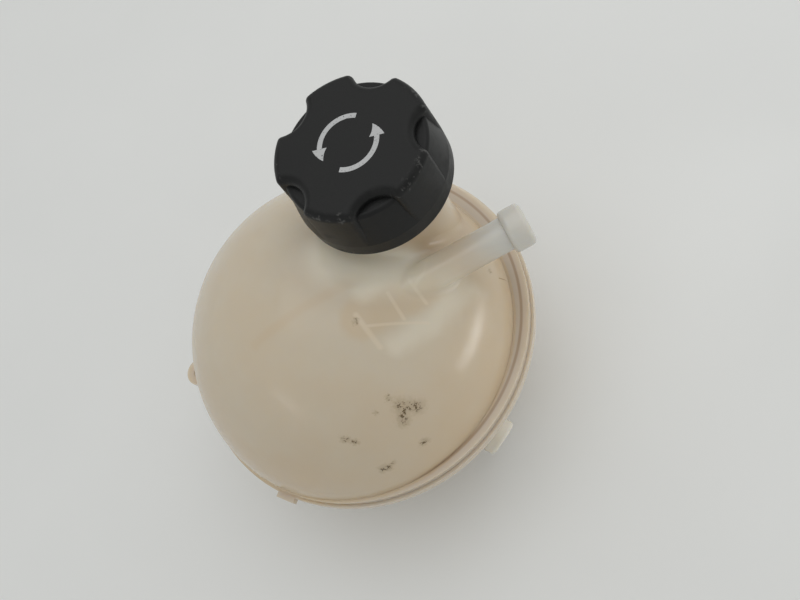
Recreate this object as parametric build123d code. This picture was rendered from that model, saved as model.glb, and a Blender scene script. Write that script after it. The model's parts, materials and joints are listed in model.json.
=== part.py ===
"""Coolant expansion tank: two welded ball halves and a screwed pressure cap with its valves.

Millimetres. The origin is the root of the mounting peg, +Z is the cap axis, +X runs along the vent pipe.
"""
import math
import os

from build123d import *

# Bowl below the weld seam, standing on the origin
BOWL_R = 68.0
BOWL_BEND = 44.0
BOWL_STRAIGHT = 6.0
SEAM_Z = BOWL_BEND + BOWL_STRAIGHT

# Ball above the seam and the welded rim
BALL_R = 70.0
WALL = 3.0
SEAM_RISE = 8.0
BALL_Z = SEAM_Z - SEAM_RISE
RIM_X = 3.3
RIM_Y = 1.4
RIM_R = 74.2
RIM_STEP = 1.3
RIM_T = 3.5

# Mounting peg, ear and locating tab
PEG_R = 7.0
PEG_L = 14.0
PEG_CHAMFER = 1.0
EAR_ANGLE = 164.0
EAR_OUT = 5.8
EAR_AT = BOWL_R + EAR_OUT
EAR_R = 6.0
EAR_HOLE_R = 2.75
TAB_ANGLE = 224.0
TAB_OUT = 4.8
TAB_REACH = BOWL_R + TAB_OUT
TAB_W = 8.0

# Outlet nipple on the bowl: its axis leaves the ball axis at OUTLET_Z and slopes down
OUTLET_ANGLE = -60.0
OUTLET_SLOPE = 20.0
OUTLET_Z = 30.0
OUTLET_R = 7.4
OUTLET_BEAD_R = 8.2
OUTLET_BORE_R = 5.6
OUTLET_INNER = 45.0
OUTLET_END = 70.2
OUTLET_BEAD_L = 6.0

# Vent pipe on the dome
VENT_Y = -16.5
VENT_DROP = 18.0
VENT_Z = BALL_Z + BALL_R - VENT_DROP
VENT_R = 6.3
VENT_BEAD_R = 8.1
VENT_BORE_R = 3.8
VENT_INNER_X = 15.0
VENT_END_X = 84.0
VENT_BEAD_L = 8.5
VENT_FILLET = 3.0
END_ROUND = 1.8

# Ribs moulded on the inside of the dome
RIB_T = 1.4
DUCT_RIB_X = (30.0, 38.5)
DUCT_RIB_W = 18.0
FIN_X = 17.5
FIN_Y = (-34.0, -22.0)
FIN_DEPTH = 8.0
BAFFLE_Y = -9.0
BAFFLE_X = (-30.0, 22.0)
BAFFLE_DEPTH = 16.0

# Filler neck
NECK_INSET = 25.0
NECK_X = BALL_R - NECK_INSET
NECK_Y = 14.2
NECK_R = 18.4
NECK_BORE_R = 15.4
NECK_FILLET = 5.0

# Cap knob, heights from its lower rim
CAP_RISE = 6.6
CAP_Z = BALL_Z + BALL_R + CAP_RISE
KNOB_R = 28.5
KNOB_LEAN = 1.0
KNOB_TOP_R = KNOB_R - KNOB_LEAN
KNOB_H = 25.4
KNOB_ROUND = 3.0
SCOOPS = 5
SCOOP_PHASE = -93.6
SCOOP_R = 9.2
SCOOP_DEPTH = 5.6
SCOOP_ROUND = 2.0
SHOULDER_INSET = 2.7
SHOULDER_R = KNOB_R - SHOULDER_INSET
SHOULDER_DROP = 4.2
SHOULDER_ROUND = 1.6
SHOULDER_FOOT = 6.0
THREAD_BORE_R = 20.4
THREAD_WALL = 2.5
SKIRT_WALL = 2.7
SKIRT_GROOVE_TOP = 8.0
NECK_TOP = 13.3
LEDGE_R = 18.8
LEDGE_Z = 12.2
SWIVEL_R = 19.4
SWIVEL_T = 2.0
SWIVEL_GAP = 0.3
POCKET_R = 13.0
POCKET_TOP = 20.8

# Valve housing hanging in the neck
HOUSING_R = 14.9
HOUSING_BORE_R = 11.4
HOUSING_FLOOR_Z = -12.4
FLOOR_T = 2.0
SEAT_HOLE_R = 7.0
SEAT_W = 1.0
SEAT_H = 0.8
SEAL_WIRE_R = 1.3
SEAL_Z = (7.0, -3.0)
SEAL_CLEAR = 0.05
SEAL_GROOVE_W = 3.0

# Valves and springs
RETAINER_R = 12.2
RETAINER_T = 2.0
RETAINER_HOLES = 4
RETAINER_HOLE_R = 1.8
RETAINER_HOLE_AT = 4.5
PLATE_R = 10.2
PLATE_T = 2.0
PLATE_HOLE_R = 3.2
GASKET_IN_R = 5.9
GASKET_OUT_R = 9.6
GASKET_T = 1.5
MAIN_SPRING_R = 8.4
MAIN_WIRE_R = 0.75
MAIN_TURNS = 5
VACUUM_DISC_R = 5.2
VACUUM_DISC_T = 1.6
VACUUM_STEM_R = 1.6
VACUUM_SPRING_R = 3.9
VACUUM_WIRE_R = 0.3
VACUUM_TURNS = 2.5
VACUUM_SPRING_L = 3.2
KEEPER_R = 4.6
KEEPER_T = 1.2
STEM_TAIL = 0.8
TOUCH = 0.02

# Heights that follow from the sizes above, from the knob's lower rim
SWIVEL_Z = NECK_TOP + SWIVEL_GAP
RETAINER_Z = SWIVEL_Z + SWIVEL_T - RETAINER_T - SWIVEL_GAP
SEAT_TOP_Z = HOUSING_FLOOR_Z + FLOOR_T + SEAT_H
PLATE_Z = SEAT_TOP_Z + GASKET_T
PLATE_TOP_Z = PLATE_Z + PLATE_T
KEEPER_Z = PLATE_TOP_Z + VACUUM_SPRING_L


def at_axis(radius, height, z, x=0.0, y=0.0):
    """An upright cylinder standing on height z."""
    return Pos(x, y, z) * Cylinder(radius, height, align=(Align.CENTER, Align.CENTER, Align.MIN))


def lying(radius, start, end):
    """A cylinder along the X axis from start to end."""
    return Pos(start, 0, 0) * Rot(0, 90, 0) * Cylinder(radius, end - start,
                                                       align=(Align.CENTER, Align.CENTER, Align.MIN))


def block(x_range, y_range, z_range):
    """A box given by its limits."""
    size = [high - low for low, high in (x_range, y_range, z_range)]
    middle = [(high + low) / 2 for low, high in (x_range, y_range, z_range)]
    return Pos(*middle) * Box(*size)


def dome(radius, base_z):
    """The part of the ball above base_z."""
    foot = math.sqrt(radius ** 2 - (base_z - BALL_Z) ** 2)
    lean = math.radians(45)
    arc = ThreePointArc((foot, 0, base_z),
                        (radius * math.cos(lean), 0, BALL_Z + radius * math.sin(lean)),
                        (0, 0, BALL_Z + radius))
    base = Line((0, 0, base_z), (foot, 0, base_z))
    axis = Line((0, 0, BALL_Z + radius), (0, 0, base_z))
    return revolve(make_face([base, arc, axis]), Axis.Z)


def bowl(inset):
    """The bowl below the seam, made smaller by inset on every side."""
    radius = BOWL_R - inset
    bend = BOWL_BEND - inset
    bend_z = SEAM_Z - BOWL_STRAIGHT
    centre = radius - bend
    lean = math.radians(45)
    top = Line((0, 0, SEAM_Z), (radius, 0, SEAM_Z))
    side = Line((radius, 0, SEAM_Z), (radius, 0, bend_z))
    arc = ThreePointArc((radius, 0, bend_z),
                        (centre + bend * math.cos(lean), 0, bend_z - bend * math.sin(lean)),
                        (centre, 0, bend_z - bend))
    floor = Line((centre, 0, bend_z - bend), (0, 0, bend_z - bend))
    axis = Line((0, 0, bend_z - bend), (0, 0, SEAM_Z))
    return revolve(make_face([top, side, arc, floor, axis]), Axis.Z)


def nipple(radius, bead_radius, bead_length, start, end):
    """A hose nipple along the X axis with a rounded bead at its end."""
    bead = lying(bead_radius, end - bead_length, end)
    bead = fillet(bead.edges().filter_by(GeomType.CIRCLE), END_ROUND)
    return lying(radius, start, end - bead_length / 2) + bead


def on_vent(piece):
    """Moves a piece from the X axis onto the vent pipe's axis."""
    return Pos(0, VENT_Y, VENT_Z) * piece


def from_vent_axis(point):
    """Distance of a point from the vent pipe's axis."""
    return math.hypot(point.Y - VENT_Y, point.Z - VENT_Z)


def on_outlet(piece):
    """Moves a piece from the X axis onto the outlet's sloping axis."""
    return Rot(0, 0, OUTLET_ANGLE) * Pos(0, 0, OUTLET_Z) * Rot(0, OUTLET_SLOPE, 0) * piece


def dome_ribs(cavity):
    """The duct ribs, the fin and the baffle that hang from the inside of the dome."""
    ribs = Part()
    for x in DUCT_RIB_X:
        ribs += block((x - RIB_T / 2, x + RIB_T / 2),
                      (VENT_Y - DUCT_RIB_W / 2, VENT_Y + DUCT_RIB_W / 2),
                      (VENT_Z - VENT_R, BALL_Z + BALL_R))
    fin_low = BALL_Z + math.sqrt((BALL_R - WALL) ** 2 - FIN_X ** 2 - FIN_Y[0] ** 2) - FIN_DEPTH
    ribs += block((FIN_X - RIB_T / 2, FIN_X + RIB_T / 2), FIN_Y, (fin_low, BALL_Z + BALL_R))
    wall = block(BAFFLE_X, (BAFFLE_Y - RIB_T / 2, BAFFLE_Y + RIB_T / 2), (SEAM_Z, BALL_Z + BALL_R))
    ribs += wall - dome(BALL_R - WALL - BAFFLE_DEPTH, SEAM_Z)
    return ribs & cavity


def upper_shell():
    """Dome with the filler neck, the vent pipe, its inside ribs and the upper half of the rim."""
    cavity = dome(BALL_R - WALL, SEAM_Z)
    reach = math.hypot(NECK_X, NECK_Y) + NECK_R
    neck_foot = BALL_Z + math.sqrt(BALL_R ** 2 - reach ** 2) - WALL
    neck_top = CAP_Z + NECK_TOP
    outside = dome(BALL_R, SEAM_Z) + at_axis(NECK_R, neck_top - neck_foot, neck_foot, NECK_X, NECK_Y)
    joint_line = outside.edges().filter_by(GeomType.CIRCLE, reverse=True).filter_by_position(
        Axis.Z, neck_foot, neck_top)
    outside = fillet(joint_line, NECK_FILLET)
    outside += on_vent(nipple(VENT_R, VENT_BEAD_R, VENT_BEAD_L, VENT_INNER_X, VENT_END_X))
    curved = outside.edges().filter_by(GeomType.BSPLINE)
    vent_foot = [edge for edge in curved if abs(from_vent_axis(edge @ 0.5) - VENT_R) < TOUCH]
    outside = fillet(vent_foot, VENT_FILLET)
    outside += at_axis(RIM_R - RIM_STEP, RIM_T, SEAM_Z, RIM_X, RIM_Y)
    inner_pipe = on_vent(lying(VENT_R, VENT_INNER_X, VENT_END_X)) & cavity
    shell = outside - cavity + inner_pipe + dome_ribs(cavity)
    shell -= at_axis(NECK_BORE_R, neck_top - SEAM_Z, SEAM_Z, NECK_X, NECK_Y)
    return shell - on_vent(lying(VENT_BORE_R, VENT_INNER_X, VENT_END_X))


def lower_shell():
    """Bowl with the lower half of the rim, the outlet nipple, the peg, the ear and the tab."""
    cavity = bowl(WALL)
    body = bowl(0.0) + at_axis(RIM_R, RIM_T, SEAM_Z - RIM_T, RIM_X, RIM_Y)
    peg = at_axis(PEG_R, PEG_L + WALL / 2, -PEG_L)
    body += chamfer(peg.edges().group_by(Axis.Z)[0], PEG_CHAMFER)
    ear_z = (SEAM_Z - RIM_T, SEAM_Z)
    ear = at_axis(EAR_R, RIM_T, ear_z[0], EAR_AT) + block((BOWL_R - WALL, EAR_AT), (-EAR_R, EAR_R), ear_z)
    body += Rot(0, 0, EAR_ANGLE) * ear
    body += Rot(0, 0, TAB_ANGLE) * block((BOWL_R - WALL, TAB_REACH), (-TAB_W / 2, TAB_W / 2), ear_z)
    body += on_outlet(nipple(OUTLET_R, OUTLET_BEAD_R, OUTLET_BEAD_L, OUTLET_INNER, OUTLET_END))
    body -= cavity
    body -= on_outlet(lying(OUTLET_BORE_R, OUTLET_INNER, OUTLET_END))
    return body - Rot(0, 0, EAR_ANGLE) * at_axis(EAR_HOLE_R, RIM_T, ear_z[0], EAR_AT)


def on_neck(piece):
    """Moves a cap piece from its own heights onto the filler neck."""
    return Pos(NECK_X, NECK_Y, CAP_Z) * piece


def ring(outer, inner, height, z):
    """A flat ring standing on height z."""
    return at_axis(outer, height, z) - at_axis(inner, height, z)


def turned(*points):
    """A solid turned about the axis from radius and height pairs."""
    outline = Polyline(*[(radius, 0, z) for radius, z in points], close=True)
    return revolve(make_face(outline), Axis.Z)


def knob_lobes():
    """The full-height knob with the finger scoops cut away between its lobes."""
    lobes = turned((0, 0), (KNOB_R, 0), (KNOB_R, SHOULDER_FOOT), (KNOB_TOP_R, KNOB_H), (0, KNOB_H))
    scoop_at = KNOB_TOP_R - SCOOP_DEPTH + SCOOP_R
    for index in range(SCOOPS):
        lobes -= Rot(0, 0, index * 360 / SCOOPS) * at_axis(SCOOP_R, KNOB_H, 0.0, scoop_at)
    lobes = fillet(lobes.edges().filter_by(GeomType.CIRCLE, reverse=True), SCOOP_ROUND)
    return fillet(lobes.faces().sort_by(Axis.Z)[-1].edges(), KNOB_ROUND)


def knob_core():
    """The round body that shows in the scoops, with a soft shoulder and a leaning wall."""
    shoulder_z = KNOB_H - SHOULDER_DROP
    core = turned((0, 0), (KNOB_R, 0), (KNOB_R, SHOULDER_FOOT), (SHOULDER_R, shoulder_z), (0, shoulder_z))
    return fillet(core.edges().sort_by(Axis.Z)[-1], SHOULDER_ROUND)


def cap_knob():
    """Outer knob with five finger scoops, a hollow skirt and a ledge that holds the valve housing."""
    knob = knob_core() + knob_lobes()
    knob -= at_axis(THREAD_BORE_R, LEDGE_Z, 0.0)
    knob -= at_axis(LEDGE_R, NECK_TOP, 0.0)
    recess_top = SWIVEL_Z + SWIVEL_T + SWIVEL_GAP
    knob -= at_axis(SWIVEL_R + SWIVEL_GAP, recess_top - NECK_TOP, NECK_TOP)
    knob -= at_axis(POCKET_R, POCKET_TOP, 0.0)
    knob -= ring(KNOB_R - SKIRT_WALL, THREAD_BORE_R + THREAD_WALL, SKIRT_GROOVE_TOP, 0.0)
    return Rot(0, 0, SCOOP_PHASE) * knob


def valve_housing():
    """Sleeve in the neck with the swivel flange, two seal grooves and the pressure valve's seat."""
    body = at_axis(HOUSING_R, SWIVEL_Z - HOUSING_FLOOR_Z, HOUSING_FLOOR_Z)
    body += at_axis(SWIVEL_R, SWIVEL_T, SWIVEL_Z)
    top = SWIVEL_Z + SWIVEL_T
    floor_top = HOUSING_FLOOR_Z + FLOOR_T
    body -= at_axis(HOUSING_BORE_R, top - floor_top, floor_top)
    body -= at_axis(RETAINER_R + TOUCH, top - RETAINER_Z, RETAINER_Z)
    body += at_axis(SEAT_HOLE_R + SEAT_W, SEAT_H, floor_top)
    body -= at_axis(SEAT_HOLE_R, top - HOUSING_FLOOR_Z, HOUSING_FLOOR_Z)
    groove_r = NECK_BORE_R - SEAL_CLEAR - 2 * SEAL_WIRE_R - TOUCH
    for z in SEAL_Z:
        body -= ring(HOUSING_R + WALL, groove_r, SEAL_GROOVE_W, z - SEAL_GROOVE_W / 2)
    return body


def seal_ring(z):
    """A rubber ring between the housing and the neck."""
    return Pos(0, 0, z) * Torus(NECK_BORE_R - SEAL_CLEAR - SEAL_WIRE_R, SEAL_WIRE_R)


def spring_retainer():
    """Vented disc that closes the housing above the main spring."""
    disc = at_axis(RETAINER_R, RETAINER_T, RETAINER_Z)
    for index in range(RETAINER_HOLES):
        hole = at_axis(RETAINER_HOLE_R, RETAINER_T, RETAINER_Z, RETAINER_HOLE_AT)
        disc -= Rot(0, 0, index * 360 / RETAINER_HOLES) * hole
    return disc


def coil(mean_radius, wire_radius, turns, low, high):
    """A spring of round wire filling the height from low to high."""
    rise = high - low - 2 * wire_radius - 2 * TOUCH
    path = Pos(0, 0, low + wire_radius + TOUCH) * Helix(rise / turns, rise, mean_radius)
    section = Plane(path @ 0, z_dir=path % 0) * Circle(wire_radius)
    return sweep(section, path, is_frenet=True)


def pressure_plate():
    """Plate that the main spring presses down, with the air hole in its middle."""
    return ring(PLATE_R, PLATE_HOLE_R, PLATE_T, PLATE_Z)


def vacuum_valve():
    """Disc under the plate with a stem that goes up through the plate's air hole."""
    disc = at_axis(VACUUM_DISC_R, VACUUM_DISC_T, PLATE_Z - VACUUM_DISC_T)
    return disc + at_axis(VACUUM_STEM_R, KEEPER_Z + KEEPER_T + STEM_TAIL - PLATE_Z, PLATE_Z)


def pieces():
    """Every piece by name, in the tank's frame."""
    made = {"upper_shell": upper_shell(), "lower_shell": lower_shell()}
    cap = {
        "cap_knob": cap_knob(),
        "valve_housing": valve_housing(),
        "upper_seal_ring": seal_ring(SEAL_Z[0]),
        "lower_seal_ring": seal_ring(SEAL_Z[1]),
        "spring_retainer": spring_retainer(),
        "pressure_spring": coil(MAIN_SPRING_R, MAIN_WIRE_R, MAIN_TURNS, PLATE_TOP_Z, RETAINER_Z),
        "pressure_plate": pressure_plate(),
        "pressure_gasket": ring(GASKET_OUT_R, GASKET_IN_R, GASKET_T, SEAT_TOP_Z),
        "vacuum_valve": vacuum_valve(),
        "vacuum_spring": coil(VACUUM_SPRING_R, VACUUM_WIRE_R, VACUUM_TURNS, PLATE_TOP_Z, KEEPER_Z),
        "vacuum_keeper": ring(KEEPER_R, VACUUM_STEM_R + TOUCH, KEEPER_T, KEEPER_Z),
    }
    for name, piece in cap.items():
        made[name] = on_neck(piece)
    return made


os.makedirs("parts", exist_ok=True)
for node, solid in pieces().items():
    export_step(solid, f"parts/{node}.step")
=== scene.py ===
"""Looks of the coolant expansion tank: milky moulded halves, a black fluted cap and its inner valves."""
import json
import math

import bpy
from mathutils import Matrix, Vector


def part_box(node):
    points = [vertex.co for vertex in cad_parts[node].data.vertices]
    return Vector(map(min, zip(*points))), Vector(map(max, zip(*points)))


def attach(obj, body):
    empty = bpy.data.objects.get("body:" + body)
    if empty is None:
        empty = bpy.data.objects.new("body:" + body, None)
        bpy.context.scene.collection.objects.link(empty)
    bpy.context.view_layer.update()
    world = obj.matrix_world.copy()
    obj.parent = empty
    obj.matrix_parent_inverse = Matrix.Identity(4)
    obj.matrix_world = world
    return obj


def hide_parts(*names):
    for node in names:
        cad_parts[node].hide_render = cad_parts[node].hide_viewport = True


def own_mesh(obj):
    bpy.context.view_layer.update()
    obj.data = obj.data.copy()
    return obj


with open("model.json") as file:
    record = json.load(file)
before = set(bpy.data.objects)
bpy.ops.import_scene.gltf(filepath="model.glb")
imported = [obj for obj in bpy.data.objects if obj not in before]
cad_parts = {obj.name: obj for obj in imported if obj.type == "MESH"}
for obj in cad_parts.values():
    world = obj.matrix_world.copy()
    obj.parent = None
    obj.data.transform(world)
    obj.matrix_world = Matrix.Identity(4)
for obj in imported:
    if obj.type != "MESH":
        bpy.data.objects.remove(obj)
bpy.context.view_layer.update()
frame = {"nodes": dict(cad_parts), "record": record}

# Scale: masks in the materials are written in millimetres
MM = 0.001

# Places read from the frame, in metres
KNOB_LOW, KNOB_HIGH = (Vector(corner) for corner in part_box("cap_knob"))
CAP_AXIS = Vector(((KNOB_LOW.x + KNOB_HIGH.x) / 2, (KNOB_LOW.y + KNOB_HIGH.y) / 2, KNOB_LOW.z))
FLOOR_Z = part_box("lower_shell")[0][2]
SEAM_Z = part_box("lower_shell")[1][2]
SEAM_OVER_BALL = 0.008
BALL_R = 0.070
BALL_CENTRE = Vector((0.0, 0.0, SEAM_Z - SEAM_OVER_BALL))

# Screw thread on the neck and in the knob, in metres; run-out and end are shares of its length and size
THREAD_LEAD = 0.006
THREAD_DEPTH = 0.0015
THREAD_ROOT = 0.0024
THREAD_CREST = 0.0012
THREAD_STEPS_A_TURN = 72
THREAD_RUN_OUT = 0.06
THREAD_END = 0.02
THREAD_OVER_CAP_FOOT = 0.0012
NECK_R = 0.0184
NECK_THREAD_TURNS = 1.7
NECK_THREAD_Z = CAP_AXIS.z + THREAD_OVER_CAP_FOOT
KNOB_BORE_R = 0.0204
KNOB_THREAD_TURNS = 1.1
KNOB_THREAD_Z = NECK_THREAD_Z + THREAD_LEAD / 2

# Welded rim from the ball's centre, in millimetres
RIM_T_MM = 3.5
RIM_TOP_MM = SEAM_OVER_BALL / MM + RIM_T_MM
RIM_DEPTH_MM = 7.0
RIM_LOW_MM = RIM_TOP_MM - RIM_DEPTH_MM
RIM_CENTRE = (3.3, 1.4, 0.0)
SEAM_LINE_R = 69.8

# Neck, outlet and the painted light on the wall under the cap, which lifts the shade that the cap casts:
# lines from the ball's centre, in millimetres
NECK_LINE = ((45.0, 14.2, 40.0), (45.0, 14.2, 100.0))
NECK_SIDE = ((50.0, -3.0, 48.0), (62.0, 10.0, 31.0))
OUTLET = ((25.0, -43.3, -27.0), (33.0, -57.2, -36.0))
PAINTED_LIGHT_UNDER_CAP = (
    ((20.0, 0.5, 67.0), (30.0, -7.5, 63.0)),
    ((30.0, -7.5, 63.0), (48.0, -12.0, 50.0)),
)

# What shows through the dome: lines in plan from the ball's centre, ribs with a half width, in millimetres
DUCT = ((17.4, -24.2, 0.0), (40.0, -19.5, 0.0))
RIB_LINES = (
    ((16.8, -22.5, 0.0), (18.8, -34.7, 0.0), 1.5),
    ((29.6, -19.0, 0.0), (30.3, -28.8, 0.0), 1.0),
    ((38.0, -17.0, 0.0), (39.2, -25.5, 0.0), 1.0),
    ((38.5, -20.0, 0.0), (44.0, -17.5, 0.0), 1.0),
    ((44.0, -17.5, 0.0), (46.6, -14.0, 0.0), 0.9),
    ((46.6, -14.0, 0.0), (43.6, -10.9, 0.0), 0.9),
    ((18.1, -27.1, 0.0), (36.6, -31.9, 0.0), 0.8),
)
# Milky patches over the duct: partly its pale edges, partly painted light through the wall
MILKY_AND_LIT_LINES = (
    ((22.0, -16.0, 0.0), (43.0, -8.5, 0.0)),
    ((54.0, -2.0, 0.0), (56.0, -3.0, 0.0)),
    ((23.5, -36.0, 0.0), (37.0, -32.5, 0.0)),
    ((37.0, -32.5, 0.0), (54.0, -22.0, 0.0)),
)
BAFFLE_LINE = ((-21.0, -14.0, 0.0), (27.0, -10.8, 0.0))

# Scuffs on the dome: the two ends of each and its half width, in millimetres from the ball's centre
SCUFFS = (
    ((14.4, -52.0, 44.6), (19.1, -54.1, 40.1), 1.9),
    ((14.0, -53.8, 42.4), (12.4, -56.2, 39.8), 1.7),
    ((-4.6, -64.3, 27.3), (-2.6, -64.6, 26.8), 1.3),
    ((-0.4, -64.2, 27.9), (0.2, -64.2, 27.9), 0.7),
    ((-9.2, -53.4, 44.3), (-8.4, -54.0, 43.7), 1.0),
    ((-6.8, -55.4, 42.3), (-6.2, -55.6, 42.1), 0.9),
    ((12.9, -62.7, 28.2), (14.4, -62.5, 28.0), 1.0),
    ((5.5, -51.5, 47.0), (5.9, -51.5, 47.0), 0.6),
    ((12.0, -49.3, 48.2), (12.5, -49.3, 48.1), 0.8),
    ((15.4, -24.6, 63.6), (16.0, -24.0, 63.8), 0.7),
    ((63.3, -13.8, 26.3), (63.7, -13.4, 25.9), 0.7),
)
HAIRLINE = ((65.1, -15.4, 20.5), (67.9, -14.5, 12.0))

# Knob's top and its rounded edge from its foot and axis, in millimetres
KNOB_TOP_MM = (KNOB_HIGH.z - KNOB_LOW.z) / MM
KNOB_EDGE_R = 26.0

# Printed turn arrows on the cap, millimetres and radians
ARROW_R = 10.0
ARROW_HALF_WIDTH = 0.9
ARROW_HEAD_HALF = 2.6
ARROW_START = 0.9
ARROW_SWEEP = 1.9
ARROW_HEAD = 0.5
ARROW_FLOOR_MM = KNOB_TOP_MM - 0.3

# Fades of masks: the millimetres at which each is full, then the millimetres at which it is gone
RIM_ACROSS_FADE = (BALL_R / MM + 1.4, BALL_R / MM + 0.6)
RIM_TOP_FADE = (RIM_TOP_MM + 0.1, RIM_TOP_MM + 0.6)
RIM_LOW_FADE = (RIM_LOW_MM, RIM_LOW_MM - 0.6)
SEAM_TOP_FADE = (RIM_TOP_MM - 0.2, RIM_TOP_MM - 0.6)
SEAM_DOME_FADE = (RIM_TOP_MM + 0.5, RIM_TOP_MM + 2.0)
SEAM_LINE_FADE = (0.2, 0.9)
SHOWN_HEIGHT_FADE = (30.0, 20.0)
LOW_WALL_FADE = (5.0, 66.0)
DUCT_FADE = (5.0, 9.0)
MILKY_AND_LIT_FADE = (0.5, 5.5)
BAFFLE_FADE = (0.4, 3.0)
PAINTED_LIGHT_UNDER_CAP_FADE = (3.0, 17.0)
NECK_SIDE_FADE = (3.0, 13.0)
NECK_FADE = (17.5, 22.0)
OUTLET_FADE = (9.4, 11.0)
PIPE_FADE = (84.0, 70.6)
PIPE_TIP_FADE = (95.0, 82.0)
HAIRLINE_FADE = (0.1, 0.35)
EDGE_REACH_FADE = (KNOB_EDGE_R, KNOB_EDGE_R - 1.5)
EDGE_HEIGHT_FADE = (KNOB_TOP_MM - 2.5, KNOB_TOP_MM - 4.5)

# Fades in half widths, for lines that give their own
RIB_FADE = (0.2, 1.0)
SCUFF_FADE = (0.5, 1.0)
HALO_FADE = (0.6, 2.4)

# Shares of the tones that are laid over each other
LOW_WALL_SHARE = 0.70
BLOTCH_SHARE = 0.30
DUCT_SHARE = 0.70
MILKY_AND_LIT_SHARE = 0.50
BAFFLE_SHARE = 0.42
RIB_SHARE = 0.55
PAINTED_LIGHT_UNDER_CAP_SHARE = 0.85
NECK_SIDE_SHARE = 0.85
RIM_SHARE = 0.80
PIPE_SHARE = 0.90
NECK_SHARE = 0.85
SEAM_SHARE = 0.60
HALO_SHARE = 0.24
HAIRLINE_SHARE = 0.55

# Noise patterns: blotches per millimetre, detail and, where it isn't the usual one, roughness
BLOTCHES = (0.03, 3.0)
SMEARS = (0.09, 5.0)
SKIN = (0.07, 2.0)
DIRT_GRAIN = (1.0, 4.0, 0.7)
CAP_WEAR = (0.12, 6.0, 0.65)
CAP_EDGE_BREAKS = (0.5, 5.0, 0.65)
CAP_GRAIN = (2.2, 2.0)
PRINT_WEAR = (1.1, 5.0, 0.7)
FLOOR_MOTTLE = (0.01, 3.0)
FINISH_DETAIL = 5.0
FINISH_RELIEF_DETAIL = 3.0
FINISH_RELIEF_FINER = 4.0

# Fades of noise: the noise value at which a mask is full, then the value at which it is gone
BLOTCH_FADE = (0.66, 0.36)
DIRT_FADE = (0.55, 0.51)
WEAR_FADE = (0.72, 0.46)
EDGE_BREAKS_FADE = (0.66, 0.55)
PRINT_FADE = (0.42, 0.34)

# Random shifts of outlines: blotches per millimetre and reach in millimetres, and the detail of both
DUCT_WOBBLE = (0.12, 3.0)
SCUFF_WOBBLE = (0.9, 3.6)
WOBBLE_DETAIL = 2.0

# Surfaces: roughness, relief in millimetres, the light that enters the tank's wall, and the cap's shine
TANK_ROUGH = 0.15
SMEAR_ROUGH = 0.12
DIRT_ROUGH = 0.35
DIRT_RELIEF = 0.3
TANK_RELIEF_MM = 0.15
TANK_LIGHT_SHARE = 0.50
TANK_LIGHT_RADIUS = (1.0, 0.82, 0.55)
TANK_LIGHT_REACH = 0.007
CAP_ROUGH = 0.40
CAP_WEAR_ROUGH = 0.18
CAP_RELIEF_MM = 0.05
CAP_SHINE = 0.25
FLOOR_ROUGH = 0.7

# Colours, linear
CREAM = (0.605, 0.530, 0.415, 1.0)
CREAM_DEEP = (0.585, 0.460, 0.312, 1.0)
# milky tone over the duct: partly its pale edges, partly painted light through the wall
MILK_AND_PAINTED_LIGHT = (0.760, 0.700, 0.580, 1.0)
# painted light: the pale tone laid on the wall under the cap, where the cap shades it
PAINTED_LIGHT_TONE = (0.900, 0.820, 0.675, 1.0)
PIPE_MILK = (0.632, 0.538, 0.418, 1.0)
PIPE_TIP = (0.615, 0.610, 0.572, 1.0)
# the outlet's tone: its milky thin wall, with painted light that lifts the shade on it
STUB_MILK_AND_PAINTED_LIGHT = (0.700, 0.665, 0.595, 1.0)
AMBER = (0.590, 0.470, 0.320, 1.0)
NECK_AMBER = (0.510, 0.390, 0.262, 1.0)
RIB_PALE = (0.720, 0.620, 0.480, 1.0)
RIM_PINK = (0.545, 0.475, 0.398, 1.0)
SEAM_BROWN = (0.310, 0.200, 0.115, 1.0)
STAIN_BROWN = (0.200, 0.132, 0.046, 1.0)
DIRT_BROWN = (0.115, 0.070, 0.020, 1.0)
CAP_BLACK = (0.0060, 0.0064, 0.0064, 1.0)
CAP_WORN = (0.0125, 0.0127, 0.0124, 1.0)
CAP_EDGE_PALE = (0.0600, 0.0600, 0.0580, 1.0)
PRINT_SILVER = (0.480, 0.485, 0.490, 1.0)
FLOOR_DARK = (0.775, 0.785, 0.775, 1.0)
FLOOR_LIGHT = (0.815, 0.825, 0.815, 1.0)
SURROUND = (0.905, 0.910, 0.895, 1.0)

# Finishes inside the cap: two tones, roughness range, blotches per millimetre, relief in millimetres, metal
PLAIN_FINISHES = {
    "insert_plastic": {"dark": (0.09, 0.09, 0.09, 1.0), "light": (0.14, 0.14, 0.135, 1.0),
                       "rough": (0.35, 0.55), "scale": 0.2, "relief": 0.03, "metal": 0.0},
    "seal_rubber": {"dark": (0.018, 0.018, 0.018, 1.0), "light": (0.032, 0.031, 0.030, 1.0),
                    "rough": (0.55, 0.80), "scale": 0.3, "relief": 0.04, "metal": 0.0},
    "spring_steel": {"dark": (0.42, 0.42, 0.41, 1.0), "light": (0.60, 0.60, 0.58, 1.0),
                     "rough": (0.25, 0.42), "scale": 0.5, "relief": 0.02, "metal": 1.0},
    "plate_steel": {"dark": (0.50, 0.50, 0.48, 1.0), "light": (0.66, 0.66, 0.64, 1.0),
                    "rough": (0.28, 0.45), "scale": 0.3, "relief": 0.02, "metal": 1.0},
    "valve_brass": {"dark": (0.50, 0.36, 0.14, 1.0), "light": (0.66, 0.50, 0.22, 1.0),
                    "rough": (0.25, 0.42), "scale": 0.3, "relief": 0.02, "metal": 1.0},
}

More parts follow.
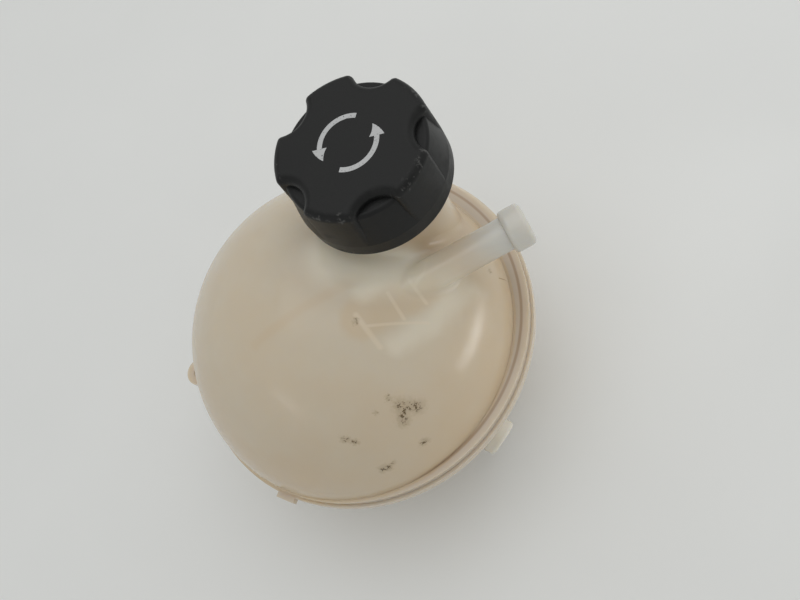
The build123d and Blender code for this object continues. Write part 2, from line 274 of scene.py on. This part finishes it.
# Lamps: place from the ball's centre and size in metres, power in watts, roll and spread in degrees
LAMPS = {
    "ceiling": ((0.15, 0.25, 1.00), (1.20, 1.20), 3.2, 0.0, 180.0),
    "right_fill": ((0.70, 0.10, 0.45), (0.90, 0.90), 0.65, 0.0, 180.0),
    "right_strip": ((0.218, -0.094, -0.012), (0.200, 0.026), 0.0105, -14.0, 60.0),
    "left_strip": ((-0.410, -0.254, 0.281), (0.220, 0.025), 0.006, -19.0, 60.0),
}
SURROUND_STRENGTH = 0.62
FLOOR_HALF = 2.0

# Camera, placed from the ball's centre as the photograph was taken
CAMERA_FROM_BALL = Vector((0.0736, -0.1587, 0.3202))
CAMERA_RIGHT = Vector((0.8683, -0.3706, -0.3300))
CAMERA_UP = Vector((0.4762, 0.8091, 0.3450))
CAMERA_NEAR = 0.01
SENSOR_WIDTH = 36.0
IMAGE_WIDTH = 800.0
FOCAL_PIXELS = 850.0


def add_node(tree, kind, settings=None, inputs=None):
    """Adds one node, sets its options, and sets or links its inputs."""
    node = tree.nodes.new(kind)
    for key, value in (settings or {}).items():
        setattr(node, key, value)
    for key, value in (inputs or {}).items():
        if isinstance(value, bpy.types.NodeSocket):
            tree.links.new(value, node.inputs[key])
        else:
            node.inputs[key].default_value = value
    return node


def calculate(tree, operation, first, second=0.0):
    """One step of arithmetic on numbers."""
    return add_node(tree, "ShaderNodeMath", {"operation": operation}, {0: first, 1: second}).outputs[0]


def plus(tree, first, second):
    """The sum of two numbers."""
    return calculate(tree, "ADD", first, second)


def minus(tree, first, second):
    """The difference of two numbers."""
    return calculate(tree, "SUBTRACT", first, second)


def times(tree, first, second):
    """The product of two numbers."""
    return calculate(tree, "MULTIPLY", first, second)


def calculate_vector(tree, operation, first, second=(0.0, 0.0, 0.0)):
    """One step of arithmetic on vectors, giving the node."""
    return add_node(tree, "ShaderNodeVectorMath", {"operation": operation}, {0: first, 1: second})


def fade(tree, value, full, gone):
    """1 where value is at full or beyond it, 0 at gone, smooth between."""
    inputs = {"Value": value, "From Min": gone, "From Max": full}
    return add_node(tree, "ShaderNodeMapRange", {"interpolation_type": "SMOOTHSTEP"}, inputs).outputs[0]


def blend_colour(tree, factor, first, second):
    """A mix of two colours."""
    inputs = {0: factor, 6: first, 7: second}
    return add_node(tree, "ShaderNodeMix", {"data_type": "RGBA"}, inputs).outputs[2]


def lay_over(tree, colour, mask, share, tone):
    """A colour with a share of a tone laid over it inside a mask."""
    return blend_colour(tree, times(tree, mask, share), colour, tone)


def cloud(tree, place, scale, detail, roughness=0.55):
    """Noise over a place in millimetres; scale counts blotches per millimetre."""
    inputs = {"Vector": place, "Scale": scale, "Detail": detail, "Roughness": roughness}
    return add_node(tree, "ShaderNodeTexNoise", inputs=inputs).outputs["Fac"]


def wobble(tree, place, scale, reach_mm):
    """A soft random shift of up to about half reach_mm either way."""
    inputs = {"Vector": place, "Scale": scale, "Detail": WOBBLE_DETAIL}
    noise = add_node(tree, "ShaderNodeTexNoise", inputs=inputs)
    centred = calculate_vector(tree, "SUBTRACT", noise.outputs["Color"], (0.5, 0.5, 0.5)).outputs[0]
    return calculate_vector(tree, "MULTIPLY", centred, (reach_mm, reach_mm, reach_mm)).outputs[0]


def place_from(tree, centre):
    """Object coordinates in millimetres, counted from centre (metres)."""
    corner = add_node(tree, "ShaderNodeTexCoord").outputs["Object"]
    moved = calculate_vector(tree, "SUBTRACT", corner, tuple(centre)).outputs[0]
    scaled = add_node(tree, "ShaderNodeVectorMath", {"operation": "SCALE"}, {0: moved, "Scale": 1 / MM})
    return scaled.outputs[0]


def shifted(tree, place, shift):
    """A place moved by a shift."""
    return calculate_vector(tree, "ADD", place, shift).outputs[0]


def in_plan(tree, place):
    """A place with its height taken away."""
    return calculate_vector(tree, "MULTIPLY", place, (1.0, 1.0, 0.0)).outputs[0]


def axes_of(tree, place):
    """A place's three coordinates."""
    return add_node(tree, "ShaderNodeSeparateXYZ", inputs={0: place}).outputs


def length_of(tree, place):
    """How far a place is from its origin."""
    return calculate_vector(tree, "LENGTH", place).outputs["Value"]


def new_material(name):
    """A material with its node tree and its shader."""
    material = bpy.data.materials.new(name)
    material.use_nodes = True
    tree = material.node_tree
    return material, tree, tree.nodes["Principled BSDF"]


def set_bump(tree, shader, height, depth_mm):
    """Relief of the given depth on a shader."""
    inputs = {"Height": height, "Distance": depth_mm * MM, "Strength": 1.0}
    bump = add_node(tree, "ShaderNodeBump", inputs=inputs)
    tree.links.new(bump.outputs["Normal"], shader.inputs["Normal"])


def near_line_group():
    """A node group giving 1 near a straight line between two points and 0 away from it."""
    tree = bpy.data.node_groups.new("near_line", "ShaderNodeTree")
    for name in ("Place", "Start", "End"):
        tree.interface.new_socket(name, in_out="INPUT", socket_type="NodeSocketVector")
    for name in ("Full", "Gone"):
        tree.interface.new_socket(name, in_out="INPUT", socket_type="NodeSocketFloat")
    tree.interface.new_socket("Mask", in_out="OUTPUT", socket_type="NodeSocketFloat")
    given = tree.nodes.new("NodeGroupInput").outputs
    along = calculate_vector(tree, "SUBTRACT", given["End"], given["Start"]).outputs[0]
    out = calculate_vector(tree, "SUBTRACT", given["Place"], given["Start"]).outputs[0]
    reach = calculate_vector(tree, "DOT_PRODUCT", out, along).outputs["Value"]
    whole = calculate_vector(tree, "DOT_PRODUCT", along, along).outputs["Value"]
    settings = {"operation": "DIVIDE", "use_clamp": True}
    share = add_node(tree, "ShaderNodeMath", settings, {0: reach, 1: whole}).outputs[0]
    foot = add_node(tree, "ShaderNodeVectorMath", {"operation": "SCALE"}, {0: along, "Scale": share})
    away = calculate_vector(tree, "DISTANCE", out, foot.outputs[0]).outputs["Value"]
    mask = fade(tree, away, given["Full"], given["Gone"])
    result = tree.nodes.new("NodeGroupOutput")
    tree.links.new(mask, result.inputs["Mask"])
    return tree


NEAR_LINE = near_line_group()


def near_line(tree, place, start, end, full, gone):
    """The near_line mask for one line in millimetres."""
    inputs = {"Place": place, "Start": start, "End": end, "Full": full, "Gone": gone}
    return add_node(tree, "ShaderNodeGroup", {"node_tree": NEAR_LINE}, inputs).outputs["Mask"]


def most_of(tree, masks):
    """The largest of several masks."""
    total = masks[0]
    for mask in masks[1:]:
        total = calculate(tree, "MAXIMUM", total, mask)
    return total


def near_lines(tree, place, lines, full, gone):
    """1 near any of several lines."""
    return most_of(tree, [near_line(tree, place, start, end, full, gone) for start, end in lines])


def near_wide_lines(tree, place, lines, full, gone):
    """1 near any of several lines that give their own half width, with the fade counted in half widths."""
    return most_of(tree, [near_line(tree, place, start, end, full * width, gone * width)
                          for start, end, width in lines])


def wall_tone(tree, place, height):
    """Cream at the top of the dome and deeper below, with soft blotches."""
    blotches = fade(tree, cloud(tree, place, *BLOTCHES), *BLOTCH_FADE)
    low = fade(tree, height, *LOW_WALL_FADE)
    depth = plus(tree, times(tree, low, LOW_WALL_SHARE), times(tree, blotches, BLOTCH_SHARE))
    return blend_colour(tree, depth, CREAM, CREAM_DEEP)


def shown_through(tree, colour, place, height):
    """Lays over what shows through the dome: the duct's tint, its milky edges and patches, which are partly
    painted light through the wall, the baffle and the ribs.
    """
    plan = in_plan(tree, place)
    wavy = shifted(tree, plan, wobble(tree, place, *DUCT_WOBBLE))
    upper = fade(tree, height, *SHOWN_HEIGHT_FADE)
    layers = (
        (near_line(tree, wavy, *DUCT, *DUCT_FADE), DUCT_SHARE, AMBER),
        (near_lines(tree, wavy, MILKY_AND_LIT_LINES, *MILKY_AND_LIT_FADE), MILKY_AND_LIT_SHARE, MILK_AND_PAINTED_LIGHT),
        (near_line(tree, plan, *BAFFLE_LINE, *BAFFLE_FADE), BAFFLE_SHARE, CREAM_DEEP),
        (near_wide_lines(tree, plan, RIB_LINES, *RIB_FADE), RIB_SHARE, RIB_PALE),
    )
    for mask, share, tone in layers:
        colour = lay_over(tree, colour, times(tree, mask, upper), share, tone)
    return colour


def seam_mask(tree, place, height):
    """1 on the narrow brown line along the top of the rim, a few millimetres inside its edge."""
    reach = calculate_vector(tree, "DISTANCE", in_plan(tree, place), RIM_CENTRE).outputs["Value"]
    aside = calculate(tree, "ABSOLUTE", minus(tree, reach, SEAM_LINE_R))
    on_top = fade(tree, height, *SEAM_TOP_FADE)
    below_dome = fade(tree, height, *SEAM_DOME_FADE)
    return times(tree, fade(tree, aside, *SEAM_LINE_FADE), times(tree, on_top, below_dome))


def rim_mask(tree, out, height):
    """1 on the welded rim."""
    across = fade(tree, out, *RIM_ACROSS_FADE)
    under = fade(tree, height, *RIM_TOP_FADE)
    over = fade(tree, height, *RIM_LOW_FADE)
    return times(tree, across, times(tree, under, over))


def fittings(tree, colour, place, height, out):
    """Lays over painted light on the wall under the cap and the tones by the neck's side, the rim, the vent
    pipe, the neck and the outlet, whose milky tone is partly painted light.
    """
    pipe_tone = blend_colour(tree, fade(tree, out, *PIPE_TIP_FADE), PIPE_MILK, PIPE_TIP)
    layers = (
        # painted light: the wall under the cap is lifted where the cap shades it
        (near_lines(tree, place, PAINTED_LIGHT_UNDER_CAP, *PAINTED_LIGHT_UNDER_CAP_FADE), PAINTED_LIGHT_UNDER_CAP_SHARE, PAINTED_LIGHT_TONE),
        (near_line(tree, place, *NECK_SIDE, *NECK_SIDE_FADE), NECK_SIDE_SHARE, NECK_AMBER),
        (rim_mask(tree, out, height), RIM_SHARE, RIM_PINK),
        (fade(tree, out, *PIPE_FADE), PIPE_SHARE, pipe_tone),
        (near_line(tree, place, *NECK_LINE, *NECK_FADE), NECK_SHARE, AMBER),
        # the outlet's milky tone, with painted light over its shade
        (near_line(tree, place, *OUTLET, *OUTLET_FADE), 1.0, STUB_MILK_AND_PAINTED_LIGHT),
        (seam_mask(tree, place, height), SEAM_SHARE, SEAM_BROWN),
    )
    for mask, share, tone in layers:
        colour = lay_over(tree, colour, mask, share, tone)
    return colour


def scuff_masks(tree, place):
    """Broken marks at the scuffed spots, and a soft stain round them with a hairline by the rim."""
    ragged = shifted(tree, place, wobble(tree, place, *SCUFF_WOBBLE))
    spots = near_wide_lines(tree, ragged, SCUFFS, *SCUFF_FADE)
    grain = fade(tree, cloud(tree, place, *DIRT_GRAIN), *DIRT_FADE)
    halo = near_wide_lines(tree, ragged, SCUFFS, *HALO_FADE)
    hair = near_line(tree, place, *HAIRLINE, *HAIRLINE_FADE)
    stain = most_of(tree, [times(tree, halo, HALO_SHARE), times(tree, hair, HAIRLINE_SHARE)])
    return times(tree, spots, grain), stain


def tank_plastic():
    """Natural moulded plastic: cream and cloudy, milkier where thin, amber where thick, scuffed with dirt,
    with painted light under the cap, on the outlet and in milky patches over the duct.
    """
    material, tree, shader = new_material("tank_plastic")
    place = place_from(tree, BALL_CENTRE)
    height = axes_of(tree, place)[2]
    out = length_of(tree, place)
    dirt, stain = scuff_masks(tree, place)
    colour = wall_tone(tree, place, height)
    colour = shown_through(tree, colour, place, height)
    colour = fittings(tree, colour, place, height, out)
    colour = blend_colour(tree, stain, colour, STAIN_BROWN)
    colour = blend_colour(tree, dirt, colour, DIRT_BROWN)
    tree.links.new(colour, shader.inputs["Base Color"])
    gloss = plus(tree, times(tree, cloud(tree, place, *SMEARS), SMEAR_ROUGH), TANK_ROUGH)
    rough = plus(tree, gloss, times(tree, dirt, DIRT_ROUGH))
    tree.links.new(rough, shader.inputs["Roughness"])
    skin = plus(tree, cloud(tree, place, *SKIN), times(tree, dirt, DIRT_RELIEF))
    set_bump(tree, shader, skin, TANK_RELIEF_MM)
    shader.inputs["Subsurface Weight"].default_value = TANK_LIGHT_SHARE
    shader.inputs["Subsurface Radius"].default_value = TANK_LIGHT_RADIUS
    shader.inputs["Subsurface Scale"].default_value = TANK_LIGHT_REACH
    return material


def turn_arrow_mask(tree, place):
    """Two printed arcs on top of the cap, each ending in an arrow head."""
    axes = axes_of(tree, place)
    radius = length_of(tree, in_plan(tree, place))
    turn = calculate(tree, "ARCTAN2", axes[1], axes[0])
    angle = calculate(tree, "FLOORED_MODULO", minus(tree, turn, ARROW_START), math.pi)
    aside = calculate(tree, "ABSOLUTE", minus(tree, radius, ARROW_R))
    on_arc = times(tree, calculate(tree, "LESS_THAN", aside, ARROW_HALF_WIDTH),
                   calculate(tree, "LESS_THAN", angle, ARROW_SWEEP))
    past = minus(tree, angle, ARROW_SWEEP)
    taper = times(tree, minus(tree, ARROW_HEAD, past), ARROW_HEAD_HALF / ARROW_HEAD)
    on_head = times(tree, calculate(tree, "LESS_THAN", aside, taper),
                    calculate(tree, "GREATER_THAN", past, 0.0))
    on_top = calculate(tree, "GREATER_THAN", axes[2], ARROW_FLOOR_MM)
    return times(tree, most_of(tree, [on_arc, on_head]), on_top)


def pale_edge_mask(tree, place):
    """Broken pale marks along the rounded top edge of the knob."""
    height = axes_of(tree, place)[2]
    reach = length_of(tree, in_plan(tree, place))
    edge = times(tree, fade(tree, reach, *EDGE_REACH_FADE), fade(tree, height, *EDGE_HEIGHT_FADE))
    return times(tree, edge, fade(tree, cloud(tree, place, *CAP_EDGE_BREAKS), *EDGE_BREAKS_FADE))


def cap_plastic():
    """Black moulded plastic with a fine grain, greyer where hands have rubbed it, with broken pale marks
    along its top edge, and worn silver arrows.
    """
    material, tree, shader = new_material("cap_plastic")
    place = place_from(tree, CAP_AXIS)
    worn = fade(tree, cloud(tree, place, *CAP_WEAR), *WEAR_FADE)
    colour = blend_colour(tree, worn, CAP_BLACK, CAP_WORN)
    colour = blend_colour(tree, pale_edge_mask(tree, place), colour, CAP_EDGE_PALE)
    kept = fade(tree, cloud(tree, place, *PRINT_WEAR), *PRINT_FADE)
    colour = lay_over(tree, colour, turn_arrow_mask(tree, place), kept, PRINT_SILVER)
    tree.links.new(colour, shader.inputs["Base Color"])
    rough = plus(tree, times(tree, worn, CAP_WEAR_ROUGH), CAP_ROUGH)
    tree.links.new(rough, shader.inputs["Roughness"])
    set_bump(tree, shader, cloud(tree, place, *CAP_GRAIN), CAP_RELIEF_MM)
    shader.inputs["Specular IOR Level"].default_value = CAP_SHINE
    return material


def plain_finish(name, dark, light, rough, scale, relief, metal):
    """A finish of two close tones with its own grain."""
    material, tree, shader = new_material(name)
    place = place_from(tree, CAP_AXIS)
    tone = cloud(tree, place, scale, FINISH_DETAIL)
    tree.links.new(blend_colour(tree, tone, dark, light), shader.inputs["Base Color"])
    spread = times(tree, tone, rough[1] - rough[0])
    tree.links.new(plus(tree, spread, rough[0]), shader.inputs["Roughness"])
    grain = cloud(tree, place, FINISH_RELIEF_FINER * scale, FINISH_RELIEF_DETAIL)
    set_bump(tree, shader, grain, relief)
    shader.inputs["Metallic"].default_value = metal
    return material


def floor_paper():
    """Pale, faintly mottled studio floor."""
    material, tree, shader = new_material("floor_paper")
    tone = cloud(tree, place_from(tree, (0.0, 0.0, 0.0)), *FLOOR_MOTTLE)
    tree.links.new(blend_colour(tree, tone, FLOOR_DARK, FLOOR_LIGHT), shader.inputs["Base Color"])
    shader.inputs["Roughness"].default_value = FLOOR_ROUGH
    return material


def set_finishes():
    """Gives every node the finish that its material slot names, and returns the finishes by slot."""
    finishes = {"tank_plastic": tank_plastic(), "cap_plastic": cap_plastic()}
    for slot, look in PLAIN_FINISHES.items():
        finishes[slot] = plain_finish(slot, **look)
    for subpart in frame["record"]["subparts"]:
        mesh = frame["nodes"][subpart["node"]].data
        mesh.materials.clear()
        mesh.materials.append(finishes[subpart["material_slot"]])
    return finishes


def thread_tree():
    """Geometry nodes for one screw thread: a helix swept with a trapezium that fades at both ends."""
    tree = bpy.data.node_groups.new("screw_thread", "GeometryNodeTree")
    tree.interface.new_socket("Thread", in_out="OUTPUT", socket_type="NodeSocketGeometry")
    for name in ("Radius", "Lead", "Turns", "Depth", "Root", "Crest"):
        tree.interface.new_socket(name, in_out="INPUT", socket_type="NodeSocketFloat")
    tree.interface.new_socket("Place", in_out="INPUT", socket_type="NodeSocketVector")
    tree.interface.new_socket("Finish", in_out="INPUT", socket_type="NodeSocketMaterial")
    given = tree.nodes.new("NodeGroupInput").outputs
    rise = times(tree, given["Lead"], given["Turns"])
    helix = add_node(tree, "GeometryNodeCurveSpiral", inputs={
        "Resolution": THREAD_STEPS_A_TURN, "Rotations": given["Turns"], "Start Radius": given["Radius"],
        "End Radius": given["Radius"], "Height": rise, "Reverse": True})
    upright = add_node(tree, "GeometryNodeSetCurveNormal", {"mode": "Z_UP"}, {"Curve": helix.outputs[0]})
    along = add_node(tree, "GeometryNodeSplineParameter").outputs["Factor"]
    from_middle = calculate(tree, "ABSOLUTE", minus(tree, along, 0.5))
    size = fade(tree, from_middle, 0.5 - THREAD_RUN_OUT, 0.5)
    grown = add_node(tree, "GeometryNodeSetCurveRadius", inputs={
        "Curve": upright.outputs[0], "Radius": calculate(tree, "MAXIMUM", size, THREAD_END)})
    section = add_node(tree, "GeometryNodeCurvePrimitiveQuadrilateral", {"mode": "TRAPEZOID"}, {
        "Height": given["Depth"], "Bottom Width": given["Root"], "Top Width": given["Crest"], "Offset": 0.0})
    turned = add_node(tree, "GeometryNodeTransform", inputs={
        "Geometry": section.outputs[0], "Rotation": (0.0, 0.0, -math.pi / 2)})
    swept = add_node(tree, "GeometryNodeCurveToMesh", inputs={
        "Curve": grown.outputs[0], "Profile Curve": turned.outputs[0], "Fill Caps": True})
    placed = add_node(tree, "GeometryNodeTransform", inputs={
        "Geometry": swept.outputs[0], "Translation": given["Place"]})
    whole = add_node(tree, "GeometryNodeRealizeInstances", inputs={"Geometry": placed.outputs[0]})
    finished = add_node(tree, "GeometryNodeSetMaterial", inputs={
        "Geometry": whole.outputs[0], "Material": given["Finish"]})
    result = tree.nodes.new("NodeGroupOutput")
    tree.links.new(finished.outputs[0], result.inputs["Thread"])
    return tree


def grow(name, tree, values):
    """Runs a geometry tree on an empty mesh with the given inputs and keeps the result as a plain mesh."""
    piece = bpy.data.objects.new(name, bpy.data.meshes.new(name))
    bpy.context.scene.collection.objects.link(piece)
    modifier = piece.modifiers.new("shape", "NODES")
    modifier.node_group = tree
    for item in tree.interface.items_tree:
        if item.name in values:
            modifier[item.identifier] = values[item.name]
    graph = bpy.context.evaluated_depsgraph_get()
    mesh = bpy.data.meshes.new_from_object(piece.evaluated_get(graph))
    piece.modifiers.remove(modifier)
    piece.data = mesh
    return piece


def add_threads(tank, cap):
    """The neck's outside thread and the knob's inside thread, half a lead apart."""
    tree = thread_tree()
    shape = {"Lead": THREAD_LEAD, "Depth": 2 * THREAD_DEPTH}
    neck = grow("neck_thread", tree, {
        **shape, "Radius": NECK_R, "Turns": NECK_THREAD_TURNS, "Root": THREAD_ROOT, "Crest": THREAD_CREST,
        "Finish": tank, "Place": (CAP_AXIS.x, CAP_AXIS.y, NECK_THREAD_Z)})
    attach(neck, "tank")
    knob = grow("knob_thread", tree, {
        **shape, "Radius": KNOB_BORE_R, "Turns": KNOB_THREAD_TURNS, "Root": THREAD_CREST,
        "Crest": THREAD_ROOT, "Finish": cap, "Place": (CAP_AXIS.x, CAP_AXIS.y, KNOB_THREAD_Z)})
    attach(knob, "knob")


def add_springs():
    """Copies of the springs that joints deform, each attached to its body and standing for the CAD node that
    it copies, which is hidden.
    """
    behaviour = frame["record"]["behaviour"]
    for joint in behaviour["joints"]:
        for entry in joint.get("deforming_nodes") or ():
            node = entry["node"]
            body = next(name for name, nodes in behaviour["bodies"].items() if node in nodes)
            wire = bpy.data.objects.new(node + "_wire", frame["nodes"][node].data.copy())
            bpy.context.scene.collection.objects.link(wire)
            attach(wire, body)
            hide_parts(node)
            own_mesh(wire)


def add_floor():
    """A wide pale floor under the tank."""
    corners = [(x * FLOOR_HALF, y * FLOOR_HALF, FLOOR_Z) for x, y in ((-1, -1), (1, -1), (1, 1), (-1, 1))]
    mesh = bpy.data.meshes.new("floor")
    mesh.from_pydata(corners, [], [(0, 1, 2, 3)])
    mesh.materials.append(floor_paper())
    floor = bpy.data.objects.new("floor", mesh)
    bpy.context.scene.collection.objects.link(floor)


def add_lamp(name, place, size, power, roll, spread):
    """A soft lamp aimed at the ball from a place counted from its centre, rolled about its own beam."""
    data = bpy.data.lights.new(name, "AREA")
    data.shape = "RECTANGLE"
    data.size, data.size_y = size
    data.energy = power
    data.spread = math.radians(spread)
    lamp = bpy.data.objects.new(name, data)
    aim = (-Vector(place)).to_track_quat("-Z", "Y").to_matrix().to_4x4()
    spin = Matrix.Rotation(math.radians(roll), 4, "Z")
    lamp.matrix_world = Matrix.Translation(BALL_CENTRE + Vector(place)) @ aim @ spin
    bpy.context.scene.collection.objects.link(lamp)


def add_light():
    """A soft ceiling and side lamp, two narrow lamps for the glints on the ball, and a pale surround."""
    for name, lamp in LAMPS.items():
        add_lamp(name, *lamp)
    world = bpy.data.worlds.new("surround")
    world.use_nodes = True
    background = world.node_tree.nodes["Background"]
    background.inputs["Color"].default_value = SURROUND
    background.inputs["Strength"].default_value = SURROUND_STRENGTH
    bpy.context.scene.world = world


def add_camera():
    """The camera at the photograph's place and roll."""
    data = bpy.data.cameras.new("camera")
    data.sensor_fit = "HORIZONTAL"
    data.sensor_width = SENSOR_WIDTH
    data.lens = SENSOR_WIDTH * FOCAL_PIXELS / IMAGE_WIDTH
    data.clip_start = CAMERA_NEAR
    camera = bpy.data.objects.new("camera", data)
    back = CAMERA_RIGHT.cross(CAMERA_UP)
    turn = Matrix((CAMERA_RIGHT, CAMERA_UP, back)).transposed()
    camera.matrix_world = Matrix.Translation(BALL_CENTRE + CAMERA_FROM_BALL) @ turn.to_4x4()
    bpy.context.scene.collection.objects.link(camera)
    bpy.context.scene.camera = camera


bpy.context.scene.view_settings.view_transform = "Standard"
slot_finishes = set_finishes()
add_threads(slot_finishes["tank_plastic"], slot_finishes["cap_plastic"])
add_springs()
add_floor()
add_light()
add_camera()
